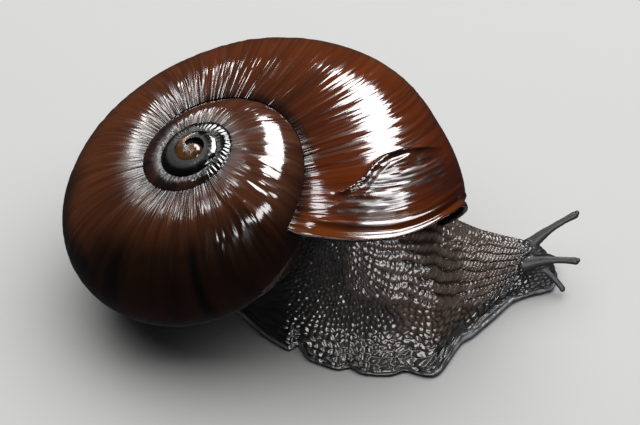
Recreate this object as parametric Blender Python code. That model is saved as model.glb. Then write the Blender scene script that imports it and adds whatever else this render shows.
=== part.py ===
# Giant carnivorous land snail, life size, crawling: a coiled shell in three parts on a soft body
# divided into foot, tail, trunk, neck, head, feelers and eyes. Metres, +Z up, the head toward +X.
import math

import bmesh
import bpy
import numpy as np
from mathutils import Euler, Vector

MM = 0.001
GAP = 0.3  # width of every cut between two parts, mm

# Shell. Turns are counted inward from the point where the lip meets the coil, lengths in mm.
SUTURE_RADII = (34.8, 18.07, 9.35, 5.99, 5.21, 4.17, 2.68, 2.18, 1.47, 0.95)  # each half turn, from -0.5
WHORL_RADII = (47.0, 35.9, 26.56, 18.53, 10.65, 6.78, 5.44, 4.58, 3.47, 2.5, 1.6)  # the same
SHOULDER_DROP = (0.566, 0.111)  # height of a whorl's shoulder over its width, and its change per turn
SHOULDER_POWER = 2.146  # 2 is an ellipse, more is squarer
BASE_DEPTH = (0.40, 0.47)  # depth of the base over the whorl radius, at the lip and half a turn behind
BASE_FLAT = 0.36  # radius of the lowest ring over the whorl radius
UMBILICUS = 0.05  # radius of the navel over the whorl radius
LIP_SWEEP = (-0.0155, 0.0235, 0.0625, 0.1205, 0.1465, 0.1595, 0.1645)  # turns the lip trails, suture to navel
LIP_FLARE = 1.5  # widening of the mouth at the lip
FLARE_BACK = 0.085  # turns the flare reaches back from the lip
SWEEP_FADE = 0.7  # turns over which the growth lines straighten
WALL = 0.8  # thickness of the shell wall at the mouth
MOUTH_DEPTH = 0.085  # turns the mouth goes back from the lip
COLLAR_START = 0.006  # turns from the lip back to the mantle collar
COLLAR_SHORT = 0.88  # length of the collar over the depth of the mouth

# Shell's seat on the body.
APEX_AT = Vector((-18.05, -1.6, 30.4))
TILT_RIGHT = math.radians(9.93)
TILT_BACK = math.radians(-19.84)
LIP_BEARING = math.radians(-56.4)

# Body, slice by slice from tail to head: x, ridge y, near half width, far half width, height, waist
BODY = (
    (-25.2, 5.3, 0.6, 0.6, 1.25, 0.0),
    (-24.2, 5.2, 1.5, 1.5, 1.8, 0.0),
    (-21.5, 4.9, 2.6, 2.9, 2.6, 0.0),
    (-17.0, 4.4, 4.2, 5.2, 3.1, 0.0),
    (-12.0, 3.4, 6.4, 7.4, 3.5, 0.0),
    (-8.0, 2.2, 10.1, 9.2, 8.2, 0.3),
    (-3.0, 0.2, 12.2, 10.5, 20.0, 0.8),
    (2.0, -1.6, 13.2, 11.3, 27.0, 1.0),
    (8.0, -2.6, 13.5, 11.6, 28.0, 1.0),
    (13.0, -2.8, 13.1, 11.4, 22.5, 0.9),
    (17.0, -2.4, 13.2, 10.8, 16.2, 0.6),
    (19.5, -1.5, 9.6, 9.8, 13.8, 0.4),
    (22.0, -0.2, 7.9, 8.6, 12.0, 0.2),
    (25.0, 1.6, 6.1, 7.0, 9.9, 0.1),
    (28.0, 3.3, 4.1, 5.4, 8.1, 0.0),
    (31.0, 4.2, 3.3, 4.4, 6.9, 0.0),
    (33.0, 4.5, 2.9, 3.6, 4.9, 0.0),
    (34.1, 4.6, 2.2, 2.7, 2.8, 0.0),
    (34.6, 4.7, 1.0, 1.2, 1.5, 0.0),
)
RIM = 0.45  # half thickness of the foot's edge
LOBES = ((-3.1, 1.9, 0.8), (4.2, 0.9, 1.1), (12.0, 0.7, 1.2), (20.5, 0.5, 1.0))  # x, depth, half width
NECK_SIDE = ((0.0, 0.0), (0.05, 0.06), (0.13, 0.2), (0.24, 0.44), (0.4, 0.72), (0.62, 0.92), (1.0, 1.0))
TRUNK_SIDE = ((0.0, 0.0), (0.1, 0.05), (0.2, 0.18), (0.24, 0.45), (0.22, 0.72), (0.34, 0.92), (1.0, 1.0))
NOTCH_HEIGHT = 5.0  # how far up the side a notch between lobes reaches
SOLE_CUT = 2.1  # height of the cut between foot and body
TAIL_CUT, NECK_CUT, HEAD_CUT = -9.0, 15.0, 27.6

# Feelers: root, tip, root radius, waist radius, bulb radius
UPPER_LEFT = ((29.9, 5.6, 5.0), (37.5, 8.4, 9.5), 1.15, 0.52, 0.56)
UPPER_RIGHT = ((29.8, 2.6, 4.8), (37.3, 1.1, 6.6), 1.1, 0.52, 0.56)
LOWER_LEFT = ((32.1, 6.0, 3.45), (34.9, 7.6, 1.05), 0.62, 0.42, 0.46)
LOWER_RIGHT = ((32.3, 3.35, 3.4), (35.5, 1.15, 0.8), 0.62, 0.42, 0.46)
EYE_RADIUS = 0.36
EYE_GAP = 0.13  # smaller than the other cuts, since the eye itself is small
FEELER_SIDES = 10
FEELER_BOW = 0.06  # rise of the middle over the length

SHELL_COLOR = (0.09, 0.022, 0.006, 1)
SKIN_COLOR = (0.03, 0.026, 0.026, 1)
SOLE_COLOR = (0.12, 0.13, 0.15, 1)
EYE_COLOR = (0.004, 0.004, 0.005, 1)


def material(name, color, roughness):
    made = bpy.data.materials.new(name)
    made.use_nodes = True
    shader = made.node_tree.nodes["Principled BSDF"]
    shader.inputs["Base Color"].default_value = color
    shader.inputs["Roughness"].default_value = roughness
    return made


def through(values, start, step, at):
    """Smooth curve through values spaced evenly from start."""
    values = np.asarray(values, float)
    ends = np.concatenate([[2 * values[0] - values[1]], values, [2 * values[-1] - values[-2]]])
    place = (np.asarray(at, float) - start) / step
    first = np.clip(np.floor(place).astype(int), 0, len(values) - 2)
    f = place - first
    a, b, c, d = ends[first], ends[first + 1], ends[first + 2], ends[first + 3]
    bend = (2 * a - 5 * b + 4 * c - d) * f * f + (3 * b - a - 3 * c + d) * f**3
    return 0.5 * (2 * b + (c - a) * f + bend)


def suture_radius(turn):
    return np.exp(through(np.log(SUTURE_RADII), -0.5, 0.5, turn))


def whorl_radius(turn):
    free = np.exp(through(np.log(WHORL_RADII), -0.5, 0.5, turn))
    return np.maximum(free, suture_radius(turn) * 1.05)


def shoulder_height(turn):
    drop = SHOULDER_DROP[0] + SHOULDER_DROP[1] * min(turn, 1.5)
    return drop * (whorl_radius(turn) - suture_radius(turn))


def suture_height(turn):
    """Each suture lies on the shoulder of the whorl inside it."""
    if turn > 3.6:
        return -0.3 * suture_radius(turn)
    x = reach_under(turn)
    rise = shoulder_height(turn + 1)
    return suture_height(turn + 1) - rise * (1 - (1 - x**SHOULDER_POWER) ** (1 / SHOULDER_POWER))


def reach_under(turn):
    """How far out over the inner whorl's shoulder the suture lies, 0 to 1."""
    inner = suture_radius(turn + 1)
    reach = (suture_radius(turn) - inner) / (whorl_radius(turn + 1) - inner)
    return float(np.clip(reach, 0.05, 0.985))


def base_depth(turn):
    f = min(max(turn / 0.6, 0), 1)
    return BASE_DEPTH[0] + (BASE_DEPTH[1] - BASE_DEPTH[0]) * f * f * (3 - 2 * f)


def smooth(start, end, at):
    f = min(max((at - start) / (end - start), 0), 1)
    return f * f * (3 - 2 * f)


def lip_flare(turn, u):
    """How much the mouth widens at a turn, all of it along the outer side of the lip."""
    back = turn - float(through(LIP_SWEEP, -0.5, 0.5, u))
    return LIP_FLARE * (1 - smooth(0, FLARE_BACK, back)) * smooth(0.35, 0.9, u) * (1 - smooth(1.25, 1.8, u))


def whorl_point(turn, u):
    """Radius and height on a whorl: u 0 at the suture, 1 at the widest ring, 2 at the navel."""
    radius, top = whorl_radius(turn), suture_height(turn)
    widest = top - shoulder_height(turn)
    power = 2 / SHOULDER_POWER
    flare = lip_flare(turn, u)
    if u <= 1:
        w = max(u, 0) * math.pi / 2
        inner = suture_radius(turn)
        across = inner + (radius - inner) * math.sin(w) ** power
        return across + flare, widest + (top - widest) * max(math.cos(w), 0) ** power
    w = (u - 1) * math.pi * 0.66
    flat = BASE_FLAT * radius
    across = max(flat + (radius - flat) * math.cos(w), UMBILICUS * radius)
    return across + flare, widest - base_depth(turn) * radius * math.sin(w)


def normals(ring):
    """Outward direction at every point of a closed ring of (radius, height)."""
    edge = np.roll(ring, -1, 0) - ring
    edge /= np.linalg.norm(edge, axis=1)[:, None] + 1e-12
    normal = np.stack([-edge[:, 1], edge[:, 0]], 1)
    both = normal + np.roll(normal, 1, 0)
    return both / (np.linalg.norm(both, axis=1)[:, None] + 1e-12)


def thickened(ring, distance):
    return ring + normals(ring) * distance


def hollowed(ring, wall):
    """Brings the two sides of a crescent toward each other along its rungs, which never crosses them."""
    away = normals(ring)
    inside = ring.copy()
    half = len(ring) // 2
    for i in range(1, half + 1):
        for here, there in ((i, -i), (-i, i)):
            rung = ring[there] - ring[here]
            length = np.linalg.norm(rung)
            lean = max(-away[here] @ rung / length, 0.4)
            inside[here] = ring[here] + rung / length * min(wall / lean, (0.14 + 0.26 * wall) * length)
    inside[0] = ring[0] + ((inside[1] + inside[-1]) / 2 - ring[0]) * (0.5 + 0.3 * wall)
    for last, before in ((half, half - 1), (-half, 1 - half)):
        step = inside[before] - inside[last]
        inside[last] += step * min(wall / np.linalg.norm(step), 0.6)
    return inside


def seated(ring, turns):
    """Puts a ring of (radius, height) at its turns round the tilted axis of the shell."""
    angle = 2 * math.pi * np.asarray(turns) + LIP_BEARING
    radius = np.asarray(ring)[:, 0]
    place = np.stack([radius * np.cos(angle), radius * np.sin(angle), np.asarray(ring)[:, 1]], 1)
    seat = Euler((TILT_RIGHT, 0, 0)).to_matrix() @ Euler((0, TILT_BACK, 0)).to_matrix()
    return place @ np.array(seat).T + np.array(APEX_AT)


def whorl_ring(along, outset=0.0):
    """One closed ring round a whorl: out over the shoulder, under the base, back along the inner whorl."""
    fade = min(max((SWEEP_FADE - along) / SWEEP_FADE, 0), 1)
    us = np.concatenate([np.linspace(0, 1, 9) ** 0.85, np.linspace(1, 2, 11)[1:]])
    turns = along + fade * through(LIP_SWEEP, -0.5, 0.5, us)
    points = [whorl_point(t, u) for t, u in zip(turns, us)]
    meet = math.asin(reach_under(float(turns[0])) ** (SHOULDER_POWER / 2)) / (math.pi / 2)
    inner_us = 2 - (2 - us[::-1]) * (2 - meet) / 2
    inner = np.array([whorl_point(t + 1, u) for t, u in zip(turns[::-1], inner_us)])
    step = np.gradient(inner, axis=0)
    step /= np.linalg.norm(step, axis=1)[:, None]
    back = inner + np.stack([step[:, 1], -step[:, 0]], 1) * GAP
    points[0] = tuple(back[-1])
    ring = np.concatenate([points, back[:-1]])
    ring = hollowed(ring, -outset) if outset < 0 else thickened(ring, outset)
    return seated(ring, np.concatenate([turns, turns[::-1][:-1]]))


def spire_section(turn):
    """Half section through the spire, from the top of the axis out over each whorl and back below."""
    middle, inner, rim = (float(suture_radius(turn + k)) for k in (2, 1, 0))
    top = suture_height(turn + 2)
    section = [(0.0, top + 0.22 * middle), (middle * 0.55, top + 0.16 * middle), (middle, top)]
    for whorl, start, end in ((turn + 1, middle, inner), (turn, inner, rim)):
        section += [(r, shoulder_point(whorl + 1, r)) for r in np.linspace(start, end, 4)[1:]]
    section += [whorl_point(turn, u) for u in (0.25, 0.5, 0.75, 1.0, 1.25, 1.5, 1.75, 2.0)]
    section.append((0.0, section[-1][1]))
    return section


def shoulder_point(turn, radius):
    """Height of a whorl's shoulder at a radius."""
    inner = float(suture_radius(turn))
    x = min(max((radius - inner) / (float(whorl_radius(turn)) - inner), 0), 1)
    drop = 1 - (1 - x**SHOULDER_POWER) ** (1 / SHOULDER_POWER)
    return suture_height(turn) - shoulder_height(turn) * drop


def cap(shape, ring, ladder):
    """Closes an end: a ladder pairs the two sides of a crescent, which follows its sweep."""
    if not ladder:
        shape.faces.new(ring)
        return
    half = len(ring) // 2
    for i in range(1, half):
        shape.faces.new((ring[i], ring[i + 1], ring[-i - 1], ring[-i]))
    shape.faces.new((ring[0], ring[1], ring[-1]))


def solid(name, rings, look, smooth=True, ladder=False):
    """Closed body through rings of points, with both ends capped."""
    shape = bmesh.new()
    loops = [[shape.verts.new(Vector(p) * MM) for p in ring] for ring in rings]
    for one, two in zip(loops, loops[1:]):
        for i in range(len(one)):
            j = (i + 1) % len(one)
            shape.faces.new((one[i], one[j], two[j], two[i]))
    for end in (loops[0], loops[-1]):
        cap(shape, end, ladder)
    return finished(name, shape, look, smooth)


def finished(name, shape, look, smooth):
    bmesh.ops.triangulate(shape, faces=[f for f in shape.faces if len(f.verts) > 4])
    bmesh.ops.recalc_face_normals(shape, faces=shape.faces)
    mesh = bpy.data.meshes.new(name)
    shape.to_mesh(mesh)
    shape.free()
    if smooth:
        mesh.polygons.foreach_set("use_smooth", [True] * len(mesh.polygons))
    made = bpy.data.objects.new(name, mesh)
    bpy.context.scene.collection.objects.link(made)
    if look:
        mesh.materials.append(look)
    return made


def helper(made):
    made.hide_render = True
    made.display_type = "WIRE"
    return made


def box(name, low, high):
    (a, b, c), (d, e, f) = low, high
    rings = [[(x, b, c), (x, e, c), (x, e, f), (x, b, f)] for x in (a, d)]
    return helper(solid(name, rings, None, smooth=False))


def boolean(made, other, operation):
    step = made.modifiers.new(f"{operation} {other.name}", "BOOLEAN")
    step.operation = operation
    step.solver = "EXACT"
    step.object = other


def body_whorl(look, grow=0.0, name="shell_body_whorl"):
    """The last whorl, hollow at the mouth. Grown, it is a room for it with the mouth filled."""
    rings = [whorl_ring(t, grow) for t in np.linspace(0.997, 0, 30)]
    if grow:
        rings.append(whorl_ring(-grow / 44, grow))
    else:
        rings += [whorl_ring(t, -WALL) for t in np.linspace(0, MOUTH_DEPTH, 4)]
    return solid(name, rings, look, ladder=True)


def mantle_collar(look):
    """The thick edge of the mantle, just inside the mouth."""
    turns = np.linspace(0, MOUTH_DEPTH, 4) * COLLAR_SHORT + COLLAR_START
    return solid("mantle_collar", [whorl_ring(t, -WALL - 1.6 * GAP) for t in turns], look, ladder=True)


def penultimate_whorl(look, grow=0.0, name="shell_penultimate_whorl", last=1.99):
    turns = np.linspace(1.003, last, 20)
    return solid(name, [whorl_ring(t, grow) for t in turns], look, ladder=True)


def apex(look):
    """The oldest whorls and the nucleus, one piece, with a thin slit where the turn meets itself."""
    shape = bmesh.new()
    sections = []
    ends = [shape.verts.new() for _ in range(2)]
    for turn in np.linspace(2.0, 2.985, 26):
        section = np.array(spire_section(turn))
        place = seated(section, [turn] * len(section))
        ends[0].co, ends[1].co = Vector(place[0]) * MM, Vector(place[-1]) * MM
        sections.append([ends[0]] + [shape.verts.new(Vector(p) * MM) for p in place[1:-1]] + [ends[1]])
    for one, two in zip(sections, sections[1:]):
        for i in range(len(one) - 1):
            corners = [one[i], one[i + 1], two[i + 1], two[i]]
            shape.faces.new(dict.fromkeys(corners))
    shape.faces.new(sections[0])
    shape.faces.new(sections[-1])
    return finished("shell_apex", shape, look, True)


def body_value(column, x):
    table = np.array(BODY)
    xs, ys = table[:, 0], table[:, column]
    slope = np.gradient(ys, xs)
    i = int(np.clip(np.searchsorted(xs, x) - 1, 0, len(xs) - 2))
    h = xs[i + 1] - xs[i]
    f = min(max((x - xs[i]) / h, 0), 1)
    keep = ys[i] * (1 + 2 * f) * (1 - f) ** 2 + ys[i + 1] * f * f * (3 - 2 * f)
    return keep + h * f * (1 - f) * ((1 - f) * slope[i] - f * slope[i + 1])


def notch(x):
    return sum(depth * math.exp(-(((x - at) / wide) ** 2)) for at, depth, wide in LOBES)


def body_slice(x):
    """Ring across the body: along the sole, up the far side, over the ridge, down the near side."""
    ridge, near, far, height, waist = (body_value(c, x) for c in range(1, 6))
    rim = min(RIM, height * 0.3, near * 0.6)
    cut = notch(x) * min(near / 6, 1)
    sides = {}
    for name, full, cut in (("near", near, cut), ("far", far, 0)):
        width = full - cut
        points = [(width - rim * 0.8, 0.0), (width - rim * 0.2, rim * 0.4), (width, rim)]
        points.append((width - rim, rim * 2))
        for (a, b), (c, d) in zip(NECK_SIDE[1:], TRUNK_SIDE[1:]):
            inward = a + (c - a) * waist
            level = rim * 2 + (height - rim * 2) * (b + (d - b) * waist)
            width = full - cut * max(1 - level / NOTCH_HEIGHT, 0) ** 2
            points.append(((width - rim) * (1 - inward), level))
        sides[name] = points
    ring = [(x, ridge + y, z) for y, z in sides["far"]]
    ring += [(x, ridge - y, z) for y, z in sides["near"][-2::-1]]
    return ring


def flesh(name, look, low, high):
    """A part of the body: the whole lofted body kept inside one box."""
    back, middle, front = np.linspace(-25.2, -5, 13), np.linspace(-5, 24, 28), np.linspace(24, 34.6, 13)
    xs = np.concatenate([back, middle[1:], front[1:]])
    made = solid(name, [body_slice(x) for x in xs], look)
    boolean(made, box(f"room_{name}", low, high), "INTERSECT")
    return made


def feeler_rings(spec, grow=0.0):
    root, tip, wide, thin, bulb = spec
    root, tip = Vector(root), Vector(tip)
    way = (tip - root).normalized()
    side = way.cross(Vector((0, 0, 1))).normalized()
    up = side.cross(way)
    length = (tip - root).length
    profile = ((0.0, wide), (0.12, wide * 0.96), (0.3, (wide + thin) * 0.48))
    profile += ((0.55, thin), (0.78, thin * 0.98))
    profile += ((1 - 1.3 * bulb / length, bulb * 0.96), (1 - 0.7 * bulb / length, bulb))
    profile += ((1 - 0.25 * bulb / length, bulb * 0.72), (1.0, bulb * 0.3))
    rings = []
    for along, radius in profile:
        at = root.lerp(tip, along) + up * math.sin(math.pi * along) * length * FEELER_BOW
        if grow:
            at = at - way * grow if along == 0 else at
        ring = []
        for k in range(FEELER_SIDES):
            turn = 2 * math.pi * k / FEELER_SIDES
            ring.append(at + (side * math.cos(turn) + up * math.sin(turn)) * (radius + grow))
        rings.append(ring)
    return rings


def ball(name, at, radius, look):
    rings = []
    for j in range(1, 6):
        rise = math.pi * (j / 6 - 0.5)
        ring = []
        for k in range(10):
            turn = math.pi * k / 5
            way = Vector((math.cos(rise) * math.cos(turn), math.cos(rise) * math.sin(turn), math.sin(rise)))
            ring.append(Vector(at) + way * radius)
        rings.append(ring)
    return solid(name, rings, look)


def eye_place(spec):
    root, tip, bulb = Vector(spec[0]), Vector(spec[1]), spec[4]
    way = (tip - root).normalized()
    return tip - way * bulb * 0.35 + Vector((0, 0, 0.42 * bulb))


def main():
    for old in list(bpy.data.objects):
        bpy.data.objects.remove(old)
    shell_look = material("shell_gloss", SHELL_COLOR, 0.18)
    skin_look = material("skin_wet", SKIN_COLOR, 0.4)
    sole_look = material("sole_wet", SOLE_COLOR, 0.4)
    eye_look = material("eye_black", EYE_COLOR, 0.15)

    body_whorl(shell_look)
    penultimate_whorl(shell_look)
    apex(shell_look)
    mantle_collar(skin_look)

    over, far = GAP / 2, 60
    low, split = (-far, -far, -1), SOLE_CUT
    flesh("foot_rear", sole_look, low, (TAIL_CUT - over, far, split - over))
    flesh("foot_middle", sole_look, (TAIL_CUT + over, -far, -1), (NECK_CUT - over, far, split - over))
    foot_front = flesh("foot_front", sole_look, (NECK_CUT + over, -far, -1), (far, far, split - over))
    flesh("tail", skin_look, (-far, -far, split + over), (TAIL_CUT - over, far, far))
    trunk = flesh("trunk", skin_look, (TAIL_CUT + over, -far, split + over), (NECK_CUT - over, far, far))
    neck = flesh("neck", skin_look, (NECK_CUT + over, -far, split + over), (HEAD_CUT - over, far, far))
    head = flesh("head", skin_look, (HEAD_CUT + over, -far, split + over), (far, far, far))

    whorl_room = helper(body_whorl(None, GAP * 1.1, "room_body_whorl"))
    inner_room = helper(penultimate_whorl(None, GAP, "room_penultimate_whorl", 1.3))
    for part in (trunk, neck):
        boolean(part, whorl_room, "DIFFERENCE")
    boolean(trunk, inner_room, "DIFFERENCE")

    feelers = (
        ("upper_feeler_left", UPPER_LEFT),
        ("upper_feeler_right", UPPER_RIGHT),
        ("lower_feeler_left", LOWER_LEFT),
        ("lower_feeler_right", LOWER_RIGHT),
    )
    for name, spec in feelers:
        made = solid(name, feeler_rings(spec), skin_look)
        room = helper(solid(f"room_{name}", feeler_rings(spec, GAP), None))
        boolean(head, room, "DIFFERENCE")
        if name.startswith("lower"):
            boolean(foot_front, room, "DIFFERENCE")
        if name.startswith("upper"):
            eye = name.replace("upper_feeler", "eye")
            ball(eye, eye_place(spec), EYE_RADIUS, eye_look)
            room = helper(ball(f"room_{eye}", eye_place(spec), EYE_RADIUS + EYE_GAP, None))
            boolean(made, room, "DIFFERENCE")

    settle()


def settle():
    """Moves everything so that the origin is under the middle of the animal, on the ground."""
    outer = [o for o in bpy.data.objects if o.name.startswith(("shell", "upper", "foot"))]
    corners = np.array([v.co for o in outer for v in o.data.vertices])
    low, high = corners.min(0), corners.max(0)
    for each in bpy.data.objects:
        each.location = (-(low[0] + high[0]) / 2, -(low[1] + high[1]) / 2, -low[2])


main()
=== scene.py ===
import math
from types import SimpleNamespace

import bmesh
import bpy
import numpy as np
from mathutils import Euler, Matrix, Vector, bvhtree, kdtree


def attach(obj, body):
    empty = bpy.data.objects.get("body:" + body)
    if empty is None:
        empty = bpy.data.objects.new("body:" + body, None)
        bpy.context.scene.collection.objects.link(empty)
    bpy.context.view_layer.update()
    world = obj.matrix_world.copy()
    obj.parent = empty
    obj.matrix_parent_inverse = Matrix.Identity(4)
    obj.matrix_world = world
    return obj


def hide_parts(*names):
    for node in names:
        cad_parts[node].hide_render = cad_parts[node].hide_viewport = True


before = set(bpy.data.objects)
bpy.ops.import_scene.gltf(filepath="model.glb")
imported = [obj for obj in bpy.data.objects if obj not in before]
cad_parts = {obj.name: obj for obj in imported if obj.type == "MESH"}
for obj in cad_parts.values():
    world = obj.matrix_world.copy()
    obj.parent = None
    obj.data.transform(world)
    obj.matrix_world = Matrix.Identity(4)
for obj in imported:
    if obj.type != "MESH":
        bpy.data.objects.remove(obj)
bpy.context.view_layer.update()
print("frame loaded:", len(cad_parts), "nodes")

mm = 0.001
middle = (-0.42, -4.46)  # moves the animal's own measurements, in mm, over the middle of its box
shift = Vector((middle[0], middle[1], 0))


# 0 up to the first value and 1 from the second on, which may be the smaller
def ease(start, end, value):
    part = np.clip((np.asarray(value, float) - start) / (end - start), 0, 1)
    return part * part * (3 - 2 * part)


# 1 at the centre, fading out to both sides
def bump(value, centre, width):
    return np.exp(-((np.asarray(value, float) - centre) / width) ** 2)


def mixed(first, second, share):
    share = np.asarray(share)[..., None]
    return np.asarray(first) * (1 - share) + np.asarray(second) * share


# lays colours over one another, each with its share
def layered(tint, *layers):
    for colour, share in layers:
        tint = mixed(tint, colour, share)
    return tint


# an even random number from 0 to 1 for each whole-number cell
def hashed(seed, *cells):
    value = np.zeros(np.shape(cells[0]), np.uint32) + np.uint32(seed * 7919 + 17)
    for cell in cells:
        whole = np.asarray(cell).astype(np.int64) & 0xFFFFFFFF
        value = (value ^ whole.astype(np.uint32)) * np.uint32(2654435761)
        value ^= value >> np.uint32(15)
        value = value * np.uint32(2246822519)
        value ^= value >> np.uint32(13)
    return value.astype(np.float64) / 0xFFFFFFFF


# smooth noise from -1 to 1
def noiseAt(seed, *axes):
    axes = np.broadcast_arrays(*[np.asarray(a, float) for a in axes])
    floors = [np.floor(a) for a in axes]
    parts = [a - f for a, f in zip(axes, floors)]
    parts = [p * p * p * (p * (p * 6 - 15) + 10) for p in parts]
    total = 0
    for corner in range(2 ** len(axes)):
        weight = 1
        cells = []
        for axis in range(len(axes)):
            step = corner >> axis & 1
            cells.append(floors[axis] + step)
            weight = weight * (parts[axis] if step else 1 - parts[axis])
        total = total + weight * hashed(seed, *cells)
    return total * 2 - 1


def clearSelection():
    for each in bpy.context.selected_objects:
        each.select_set(False)


def selectOnly(piece):
    clearSelection()
    piece.select_set(True)
    bpy.context.view_layer.objects.active = piece


# attributes hold one number or one colour for each point
def addAttributes(made, attributes):
    for key, values in attributes.items():
        values = np.asarray(values, np.float32)
        if values.ndim == 2:
            values = np.concatenate([values, np.ones((len(values), 1), np.float32)], 1)
        kind = "FLOAT_COLOR" if values.ndim == 2 else "FLOAT"
        layer = made.data.attributes.new(key, kind, "POINT")
        layer.data.foreach_set("color" if values.ndim == 2 else "value", values.ravel())


# points in mm, in a grid or a list
def buildMesh(name, points, faces):
    mesh = bpy.data.meshes.new(name)
    mesh.from_pydata((points.reshape(-1, 3) * mm).tolist(), [], faces)
    made = bpy.data.objects.new(name, mesh)
    bpy.context.scene.collection.objects.link(made)
    mesh.polygons.foreach_set("use_smooth", [True] * len(mesh.polygons))
    return made


def fixNormals(piece):
    shape = bmesh.new()
    shape.from_mesh(piece.data)
    bmesh.ops.recalc_face_normals(shape, faces=shape.faces)
    shape.to_mesh(piece.data)
    shape.free()


# the number of each point in a grid
def numbered(points):
    return np.arange(points.shape[0] * points.shape[1]).reshape(points.shape[:2])


# quads between the rows of a grid, joined up round each row when it is closed
def gridFaces(index, closed=True):
    if closed:
        index = np.concatenate([index, index[:, :1]], 1)
    corners = [index[:-1, :-1], index[:-1, 1:], index[1:, 1:], index[1:, :-1]]
    return np.stack(corners, -1).reshape(-1, 4).tolist()


def lengthOf(vectors):
    return np.linalg.norm(vectors, axis=-1, keepdims=True)


# unit normals of a grid of points
def surfaceNormals(points):
    normal = np.cross(np.gradient(points, axis=1), np.gradient(points, axis=0))
    return normal / (lengthOf(normal) + 1e-9)


def newMaterial(name, values):
    made = bpy.data.materials.new(name)
    made.use_nodes = True
    for socket, value in values.items():
        made.node_tree.nodes["Principled BSDF"].inputs[socket].default_value = value
    return made


def linkInputs(material, node, sources):
    for socket, source in sources.items():
        material.node_tree.links.new(source, node.inputs[socket])


def addNode(material, kind, values, sources):
    node = material.node_tree.nodes.new("ShaderNode" + kind)
    for socket, value in values.items():
        node.inputs[socket].default_value = value
    linkInputs(material, node, sources)
    return node


def attributeOutput(material, name, output="Fac"):
    node = addNode(material, "Attribute", {}, {})
    node.attribute_name = name
    return node.outputs[output]


# slides from one value to another as the surface gets duller
def byDullness(material, wet, dry):
    dull = attributeOutput(material, "dull")
    return addNode(material, "MapRange", {"To Min": wet, "To Max": dry}, {"Value": dull}).outputs["Result"]


def feedShader(material, sources):
    linkInputs(material, material.node_tree.nodes["Principled BSDF"], sources)


# shell: turns are counted inward from the lip, lengths in mm

shell = {
    # each half turn from -0.5
    "sutureRadii": (34.8, 18.07, 9.35, 5.99, 5.21, 4.17, 2.68, 2.18, 1.47, 0.95),
    "whorlRadii": (47.0, 35.9, 26.56, 18.53, 10.65, 6.78, 5.44, 4.58, 3.47, 2.5, 1.6),
    "innerTurns": 3.6,  # turns of the spire, inside the last whorl
    "shoulder": (0.566, 0.111),  # drop to the widest place over the whorl's breadth, and what a turn adds
    "power": 2.146,  # 2 is an elliptical shoulder, more is squarer
    "base": (0.4, 0.47),  # depth of the underside over the radius, at the lip and further in
    "flat": 0.36,  # centre of the underside's curve over the radius
    "navel": 0.05,
    # turns that the lip trails, from the suture to the navel, and turns over which that fades
    "sweep": (-0.0155, 0.0235, 0.0625, 0.1205, 0.1465, 0.1595, 0.1645),
    "fade": 0.7,
    "flare": 1.5,  # widening at the lip
    "flareBack": 0.085,  # turns it reaches back
    "apex": (-18.05 + middle[0], -1.6 + middle[1], 30.4),
    "tiltRight": 9.93,
    "tiltBack": -19.84,
    "bearing": -56.4,  # of the lip, in degrees round the shell's axis
    "lipWall": 0.42,
    "mouthDepth": 0.2,
    "mouthRings": 14,
    "lipPoints": 5,  # round the lip's edge
    "closedAt": 3.5,  # turn where the oldest suture starts
    "bodySteps": (716, 120, 10),  # along, across the outside and across the side within
    "spireSteps": (760, 84, 8),
    "bodyCrowding": 1.12,  # above 1, the rings stand closer toward the outer end
    "spireCrowding": 1.2,
    "lineHeight": 0.052,
    "ribHeight": 0.075,
    "ribStep": 0.62,
    "closeRibHeight": 0.02,
    "closeRibStep": 0.68,
    "rollHeight": 0.17,
    "scarDepth": 0.3,
    # turn and place across, from the suture side outward
    "scar": ((0.05, 0.14), (0.052, 0.23), (0.062, 0.3), (0.077, 0.34), (0.085, 0.41), (0.085, 0.53),
             (0.077, 0.64), (0.062, 0.85)),
    "roughness": 0.1,
    "dullRoughness": 0.72,
    "ior": 1.52,
    "coat": 0.5,
    "coatRoughness": 0.06,
    "fineLines": 0.9,
    "fineLineDepth": 0.05,
    "fineLineScale": 1.9,
    "fineLineStretch": 2.2,
    "tints": {
        "orange": (0.078, 0.0125, 0.0016), "chestnut": (0.08, 0.024, 0.0085),
        "mahogany": (0.026, 0.0036, 0.0007), "nearBlack": (0.0021, 0.0012, 0.0009),
        "shoulder": (0.024, 0.0088, 0.0042), "olive": (0.125, 0.052, 0.009),
        "lipBand": (0.105, 0.02, 0.0024), "lipEdge": (0.1, 0.025, 0.004),
        "secondPale": (0.08, 0.028, 0.0135), "secondDeep": (0.038, 0.0105, 0.005),
        "secondLow": (0.0115, 0.0046, 0.0036), "third": (0.021, 0.0092, 0.0066),
        "young": (0.0042, 0.0034, 0.0024), "speckle": (0.03, 0.024, 0.012),
        "apexRing": (0.0016, 0.002, 0.0016), "apexDeep": (0.06, 0.026, 0.007),
        "apexPale": (0.105, 0.066, 0.036), "suture": (0.0012, 0.001, 0.0008),
        "sutureEdge": (0.06, 0.05, 0.042), "torn": (0.021, 0.0085, 0.0062),
        "scar": (0.0015, 0.001, 0.0008), "underside": (0.007, 0.0045, 0.0035),
        "within": (0.006, 0.004, 0.003), "lipCorner": (0.012, 0.007, 0.005),
        "inside": (0.006, 0.004, 0.0035),
    },
}


# smooth curve through values spaced half a turn apart, the first at -0.5
def through(values, at):
    values = np.asarray(values, float)
    ends = np.concatenate([[2 * values[0] - values[1]], values, [2 * values[-1] - values[-2]]])
    place = (np.asarray(at, float) + 0.5) / 0.5
    first = np.clip(np.floor(place).astype(int), 0, len(values) - 2)
    f = place - first
    a, b, c, d = (ends[first + i] for i in range(4))
    return 0.5 * (2 * b + (c - a) * f + (2 * a - 5 * b + 4 * c - d) * f * f + (3 * b - a - 3 * c + d) * f**3)


def sutureRadius(turn):
    return np.exp(through(np.log(shell["sutureRadii"]), turn))


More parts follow.
